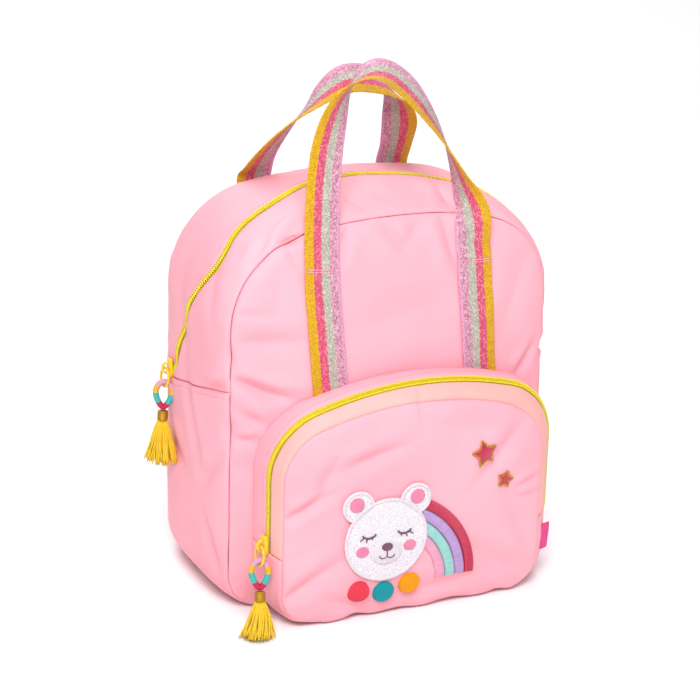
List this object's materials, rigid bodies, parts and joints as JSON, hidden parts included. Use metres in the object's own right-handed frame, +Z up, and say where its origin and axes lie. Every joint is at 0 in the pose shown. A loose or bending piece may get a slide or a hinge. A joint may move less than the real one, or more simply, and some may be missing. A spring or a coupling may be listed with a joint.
{
  "type": "child's animal backpack",
  "caption": "Small pink fabric backpack with an arched zipped body, zipped front pocket with an animal patch, webbing carry handles, tassel pulls and shoulder straps.",
  "frame": {"origin": "on the floor, in the middle of the flat base of the body", "axes": "+Z up, front pocket faces -Y, +X to the right seen from the front"},
  "size_m": [0.271, 0.1953, 0.372],
  "materials": {
    "pink_polyester": "plain-woven polyester, soft matte with a slight sheen",
    "peach_polyester": "plain-woven polyester, soft matte",
    "zip_coil": "moulded nylon coil",
    "lacquered_metal": "die-cast zinc with yellow lacquer",
    "striped_webbing": "woven ribbed webbing with metallic stripes",
    "wrapped_cord": "cord wound with bands of thread",
    "gold_thread": "metallic thread, wound",
    "tassel_yarn": "twisted viscose yarn",
    "tab_tape": "folded grosgrain tape",
    "slide_plastic": "moulded acetal",
    "plain_webbing": "woven polyester webbing",
    "glitter_fabric": "white twill with pearly glitter",
    "embroidery_thread": "satin-stitched rayon thread",
    "coral_felt": "pressed felt",
    "teal_felt": "pressed felt",
    "yellow_felt": "pressed felt",
    "satin_patch": "satin with a sewn edge"
  },
  "bodies": {
    "root": {"front_panel": "pink_polyester", "back_panel": "pink_polyester", "zip_gusset_front": "pink_polyester", "zip_gusset_back": "pink_polyester", "base_gusset": "pink_polyester", "pocket_panel": "pink_polyester", "pocket_gusset_back": "pink_polyester", "pocket_base_gusset": "pink_polyester", "pocket_gusset_front": "peach_polyester", "main_zip": "zip_coil", "pocket_zip": "zip_coil", "handle_front": "striped_webbing", "handle_back": "striped_webbing", "main_slider": "lacquered_metal", "main_pull_ring": "lacquered_metal", "main_tassel_loop": "wrapped_cord", "main_tassel_collar": "gold_thread", "main_tassel_skirt": "tassel_yarn", "pocket_slider": "lacquered_metal", "pocket_pull_ring": "lacquered_metal", "pocket_tassel_loop": "wrapped_cord", "pocket_tassel_collar": "gold_thread", "pocket_tassel_skirt": "tassel_yarn", "pocket_side_tab": "tab_tape", "shoulder_strap_left": "pink_polyester", "shoulder_strap_right": "pink_polyester", "strap_slide_left": "slide_plastic", "strap_slide_right": "slide_plastic", "strap_tail_left": "plain_webbing", "strap_tail_right": "plain_webbing", "patch_head": "glitter_fabric", "patch_band_1": "embroidery_thread", "patch_band_2": "embroidery_thread", "patch_band_3": "embroidery_thread", "patch_band_4": "embroidery_thread", "felt_disc_coral": "coral_felt", "felt_disc_teal": "teal_felt", "felt_disc_yellow": "yellow_felt", "star_large": "satin_patch", "star_small": "satin_patch"}
  },
  "joints": []
}
